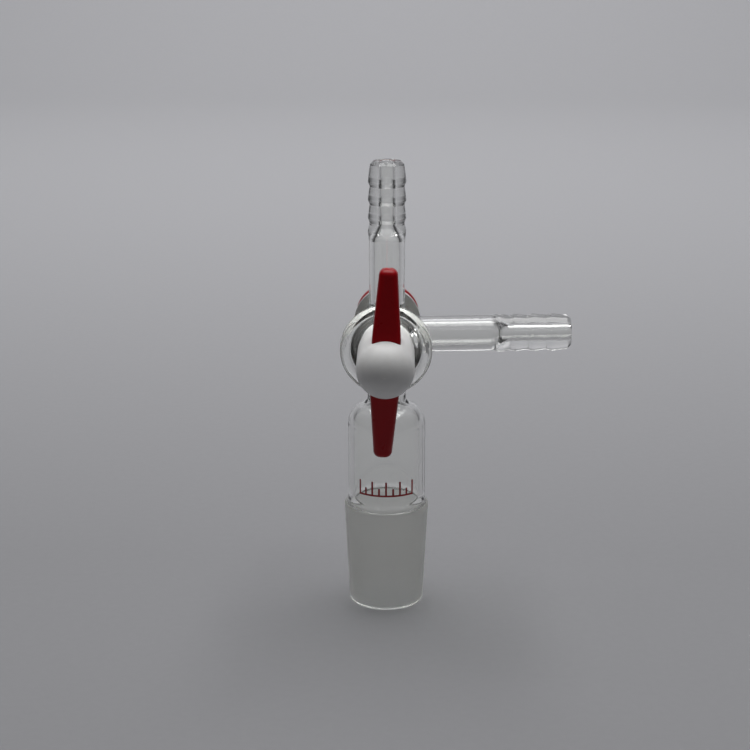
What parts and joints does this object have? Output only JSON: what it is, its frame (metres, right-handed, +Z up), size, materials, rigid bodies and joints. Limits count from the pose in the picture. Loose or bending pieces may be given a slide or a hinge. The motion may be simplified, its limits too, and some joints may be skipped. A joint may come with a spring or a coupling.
{
  "type": "glass stopcock",
  "caption": "Glass stopcock adapter with a turning PTFE plug and red handle, a ground cone foot, a top hose tail, a side hose tail and a nut that draws the plug in.",
  "frame": {"origin": "centre of the ground cone's small end, on the surface that the stopcock stands on", "axes": "+Z up along the cone, neck and top hose tail; the barrel lies along Y with the handle at -Y and the nut at +Y; +X towards the side hose tail"},
  "size_m": [0.064, 0.0727, 0.1282],
  "materials": {
    "clear_glass": "clear polished borosilicate glass, with a finely ground white cone and a red enamel mark",
    "white_ptfe": "smooth waxy white",
    "red_plastic": "moulded, satin",
    "black_rubber": "smooth"
  },
  "bodies": {
    "glass": {"glass_body": "clear_glass"},
    "plug": {"plug": "white_ptfe", "handle": "red_plastic", "washer": "white_ptfe"},
    "o_ring": {"o_ring": "black_rubber"},
    "nut": {"nut": "red_plastic"}
  },
  "joints": [
    {"name": "plug_turn", "type": "hinge", "parent": "glass", "child": "plug", "pos_m": [0, 0, 0.0793], "axis": [0, 1, 0], "continuous": true},
    {"name": "o_ring_slide", "type": "slide", "parent": "plug", "child": "o_ring", "axis": [0, 1, 0], "range_m": [0, 0.0015]},
    {"name": "nut_turn", "type": "hinge", "parent": "o_ring", "child": "nut", "pos_m": [0, 0.0247, 0.0793], "axis": [0, 1, 0], "range_deg": [0, 360]}
  ],
  "couplings": [
    {"joint": "nut_turn", "follows": "o_ring_slide", "rad_per_m": 4188.8}
  ]
}
